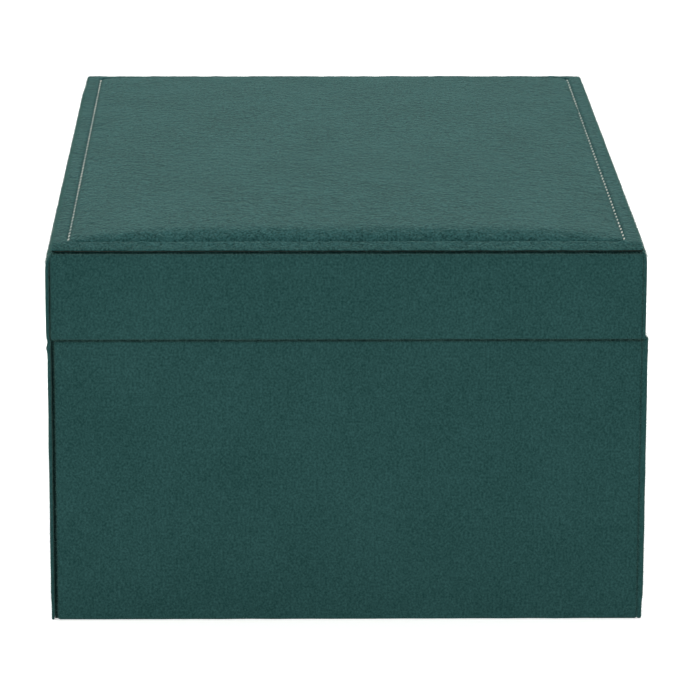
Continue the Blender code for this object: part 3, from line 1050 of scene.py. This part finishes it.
PUCKER = 0.00010
PUCKER_REACH = 0.004
PUCKER_START = 0.0008
PUCKER_COARSE = 0.0030
PUCKER_FINE = 0.0014
MARGIN_DROP = 0.00110
MARGIN_RUN = 0.0031
MARGIN_CURVE = 1.2
MARGIN_WAVE = 0.00007
MARGIN_WAVE_SIZE = 0.0022
RIDGE = 0.00024
RIDGE_PLACE = 0.0006
RIDGE_HALF_WIDTH = 0.00030
RIDGE_PITCH = 0.0017
PANEL_FRINGE = 0.0010
MARGIN_LEFT = -0.00035
MARGIN_RIGHT = 0.00025


def seam_distance(x, y):
    """Distance in from the panel's edge, with the corners of the seam rounded."""
    corner = SEAM_INSET + SEAM_CORNER
    out = Vector((abs(x) - PANEL_HALF.x + corner, abs(y - PANEL_CENTRE_Y) - PANEL_HALF.y + corner))
    beyond = Vector((max(out.x, 0.0), max(out.y, 0.0))).length
    return corner - beyond - min(max(out.x, out.y), 0.0)


def fullness(distance, reach):
    """Share of the pad's full height at a distance in from the seam."""
    return 1 - math.exp(-((max(distance, 0.0) / reach) ** CROWN_CURVE))


def panel_rise(x, y):
    """Height of the top above the panel's edge: the seam's groove, then the pad's rise and puckers.
    The pad is plumper and its margin thinner at the left end, where the cover was pulled tighter."""
    inside = seam_distance(x, y) - SEAM_INSET
    toward_left = (1 - x / PANEL_HALF.x) / 2
    rise = -SEAM_DEPTH * math.exp(-((inside / SEAM_HALF_WIDTH) ** 2))
    pull = noise.noise(Vector((x / RIDGE_PITCH, y / RIDGE_PITCH, 11.0)))
    rise += RIDGE * (0.7 + 0.9 * pull) * math.exp(-(((inside + RIDGE_PLACE) / RIDGE_HALF_WIDTH) ** 2))
    if inside > 0:
        run_x = PANEL_HALF.x - SEAM_INSET
        run_y = PANEL_HALF.y - SEAM_INSET
        plump = fullness(x + run_x, CROWN_REACH_LEFT) * fullness(run_x - x, CROWN_REACH_RIGHT)
        from_side = run_y - abs(y - PANEL_CENTRE_Y)
        crown = CROWN_LEFT * toward_left + CROWN_RIGHT * (1 - toward_left)
        rise += SIDE_CROWN * plump * fullness(from_side, CROWN_REACH_SIDES)
        rise += (crown - SIDE_CROWN) * plump * fullness(from_side, CROWN_REACH_ACROSS)
        gather = noise.noise(Vector((x / PUCKER_COARSE, y / PUCKER_COARSE, 3.0)))
        gather += 0.5 * noise.noise(Vector((x / PUCKER_FINE, y / PUCKER_FINE, 7.0)))
        near_seam = 0.25 + 2.2 * math.exp(-inside / PUCKER_REACH)
        rise += PUCKER * gather * near_seam * min(1.0, inside / PUCKER_START)
    else:
        rise += MARGIN_WAVE * noise.noise(Vector((x / MARGIN_WAVE_SIZE, y / MARGIN_WAVE_SIZE, 1.0)))
        rise -= MARGIN_DROP * max(0.0, 1 - (x + PANEL_HALF.x) / MARGIN_RUN) ** MARGIN_CURVE
    return rise + MARGIN_LEFT * toward_left + MARGIN_RIGHT * (1 - toward_left)


panel_low_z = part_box("lid_top_cover")[0].z - PANEL_SINK
bm = rounded_slab(
    (-PANEL_HALF.x, PANEL_CENTRE_Y - PANEL_HALF.y, panel_low_z),
    (PANEL_HALF.x, PANEL_CENTRE_Y + PANEL_HALF.y, PANEL_EDGE_TOP),
    PANEL_EDGE,
    PANEL_SPACING,
    segments=5,
)
for axis, half, centre in ((0, PANEL_HALF.x, 0.0), (1, PANEL_HALF.y, PANEL_CENTRE_Y)):
    for sign in (-1, 1):
        seam = centre + sign * (half - SEAM_INSET)
        cut_across(bm, axis, [seam + offset for offset in SEAM_CUTS])
for vertex in bm.verts:
    share = (vertex.co.z - panel_low_z) / (PANEL_EDGE_TOP - panel_low_z)
    vertex.co.z += panel_rise(vertex.co.x, vertex.co.y) * share
wave(bm, PANEL_WAVE, PANEL_WAVE_SIZE, PANEL_SEED)
# The top's copy of the velvet has a lighter base colour on average than the covers' copy. That is painted
# light for the lit top. Its wider spread of tone and deeper ripple are the brushed pile.
panel_velvet = make_velvet("velvet_brushed_top_painted_light", "#062E2D", "#335D5C", 0.122, 0.0009)
panel = make_piece("lid_top_cover_velvet", bm, panel_velvet)
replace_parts(panel, "lid_top_cover")
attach(panel, "lid")
panel_pile = grow_pile(
    panel,
    "lid_top_cover_pile",
    PANEL_PILE_SEED,
    lambda place: seam_distance(place.x, place.y) < PANEL_FRINGE,
)
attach(panel_pile, "lid")

# ---------------------------------------------------------------------------------------------
# Topstitching: one row of pale polyester thread in lockstitch, bedded in the pile along the seam.
# Across the two ends it is drawn down further, so that part of it is lost in the pile.
# ---------------------------------------------------------------------------------------------
STITCH_LENGTH = 0.0030
STITCH_HALF_LENGTHS = (0.29, 0.37)
STITCH_SLANT = 0.16
STITCH_SWING = 0.08
THREAD_RADIUS = 0.00019
THREAD_HEIGHTS = (0.2, 0.6)
THREAD_SINK = 0.00014
END_ROW_DEPTH = SEAM_CORNER * 0.6
THREAD_SEED = 11


def make_thread():
    """Spun polyester sewing thread: two plies twisted tight, so each stitch has a soft sheen and
    shadows about 0.4 mm apart where the plies cross. It is soiled to the velvet's colour in runs
    about 14 mm long."""
    material, tree, surface = new_material("spun_polyester_thread")
    coords = add_node(tree, "ShaderNodeTexCoord", {}).outputs["Object"]
    plies = add_node(tree, "ShaderNodeTexNoise", {"Vector": coords, "Scale": 2600.0, "Detail": 2.0})
    run = add_node(tree, "ShaderNodeTexNoise", {"Vector": coords, "Scale": 70.0, "Detail": 1.0})
    tone = add_node(
        tree,
        "ShaderNodeMix",
        {0: plies.outputs["Fac"], 6: linear("#98A093"), 7: linear("#F4F4E8")},
        data_type="RGBA",
    )
    faded = add_node(
        tree, "ShaderNodeMapRange", {0: run.outputs["Fac"], 1: 0.4, 2: 0.65, 3: 0.0, 4: 0.55}
    )
    colour = add_node(
        tree,
        "ShaderNodeMix",
        {0: faded.outputs[0], 6: tone.outputs[2], 7: linear("#8AA8A2")},
        data_type="RGBA",
    )
    bump = add_node(
        tree, "ShaderNodeBump", {"Height": plies.outputs["Fac"], "Distance": 0.0001, "Strength": 0.6}
    )
    shader = add_node(
        tree,
        "ShaderNodeBsdfPrincipled",
        {
            "Base Color": colour.outputs[2],
            "Roughness": 0.6,
            "Sheen Weight": 0.2,
            "Normal": bump.outputs["Normal"],
        },
    )
    tree.links.new(shader.outputs["BSDF"], surface)
    return material


seam_half = PANEL_HALF - Vector((SEAM_INSET, SEAM_INSET))


def seam_point(distance):
    """Point and direction at a distance along the seam, a rectangle with round corners."""
    straight = (2 * (seam_half.x - SEAM_CORNER), 2 * (seam_half.y - SEAM_CORNER))
    arc = math.pi / 2 * SEAM_CORNER
    turn = 0.0
    place = Vector((-seam_half.x + SEAM_CORNER, -seam_half.y))
    for side in range(4):
        run = straight[side % 2]
        heading = Vector((math.cos(turn), math.sin(turn)))
        if distance <= run:
            return place + heading * distance, turn
        place = place + heading * run
        distance -= run
        centre = place + Vector((-heading.y, heading.x)) * SEAM_CORNER
        if distance <= arc:
            swing = distance / SEAM_CORNER
            spoke = Vector((math.sin(turn + swing), -math.cos(turn + swing))) * SEAM_CORNER
            return centre + spoke, turn + swing
        turn += math.pi / 2
        place = centre + Vector((math.sin(turn), -math.cos(turn))) * SEAM_CORNER
        distance -= arc
    return place, turn


seam_length = 4 * (seam_half.x + seam_half.y - 2 * SEAM_CORNER) + 2 * math.pi * SEAM_CORNER
stitch_count = round(seam_length / STITCH_LENGTH)
picker = random.Random(THREAD_SEED)
bm = bmesh.new()
for number in range(stitch_count):
    middle, heading = seam_point((number + 0.5) * seam_length / stitch_count)
    x, y = middle.x, middle.y + PANEL_CENTRE_Y
    sunk = THREAD_SINK if seam_half.x - abs(x) < END_ROW_DEPTH else 0.0
    height = PANEL_EDGE_TOP + panel_rise(x, y) + THREAD_RADIUS * picker.uniform(*THREAD_HEIGHTS) - sunk
    slant = heading - STITCH_SLANT + picker.uniform(-STITCH_SWING, STITCH_SWING)
    half_length = STITCH_LENGTH * picker.uniform(*STITCH_HALF_LENGTHS)
    place = Matrix.Translation((x, y, height)) @ Matrix.Rotation(slant, 4, "Z")
    place = place @ Matrix.Diagonal((half_length, THREAD_RADIUS, THREAD_RADIUS, 1.0))
    bmesh.ops.create_uvsphere(bm, u_segments=6, v_segments=6, radius=1.0, matrix=place)
stitching = make_piece("lid_top_stitching", bm, make_thread())
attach(stitching, "lid")

# ---------------------------------------------------------------------------------------------
# Lid stays: a satin ribbon at each end that is straight when the lid is open and folds back on
# itself inside the closed case. Its ends are glued flat, one to the base and one to the lid.
# ---------------------------------------------------------------------------------------------
STAY_WIDTH = 0.0100
STAY_TAIL = 0.0060
STAY_ANCHOR = Vector((-0.0280, -0.0060))
STAY_PLY = 0.00016
STAY_BASE_X = 0.09018
STAY_LID_X = 0.08938
STAY_FOLD_RUN = 0.018

hinge = next(joint for joint in frame["record"]["behaviour"]["joints"] if joint["name"] == "lid_hinge")
hinge_place = Vector(hinge["pos_m"])
lid_travel = math.radians(hinge["range_deg"][1])


def turned(place, angle):
    """A point (y, z) about the hinge line, turned as the lid opens."""
    return Vector((
        place.x * math.cos(angle) + place.y * math.sin(angle),
        place.y * math.cos(angle) - place.x * math.sin(angle),
    ))


stay_end = turned(Vector((STAY_ANCHOR.x, -STAY_ANCHOR.y)), lid_travel)
stay_heading = (stay_end - STAY_ANCHOR).normalized()
stay_start = STAY_ANCHOR - stay_heading * STAY_TAIL
stay_length = (stay_end - STAY_ANCHOR).length + 2 * STAY_TAIL
for side, sign in (("left", -1), ("right", 1)):

    def lay_stay(along, across):
        """Straight when the lid is open, then turned back by each point's share of the lid's travel."""
        share = clamped((along - stay_length / 2) / STAY_FOLD_RUN + 0.5)
        straight = stay_start + stay_heading * along + Vector((-stay_heading.y, stay_heading.x)) * across
        folded = turned(straight, -lid_travel * eased(share))
        away = STAY_BASE_X + (STAY_LID_X - STAY_BASE_X) * share
        return hinge_place + Vector((sign * away, folded.x, folded.y))

    stay = ribbon_piece(f"stay_ribbon_{side}_satin", stay_length, STAY_WIDTH, STAY_PLY, lay_stay)
    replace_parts(stay, f"stay_ribbon_{side}")
    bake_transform(stay)
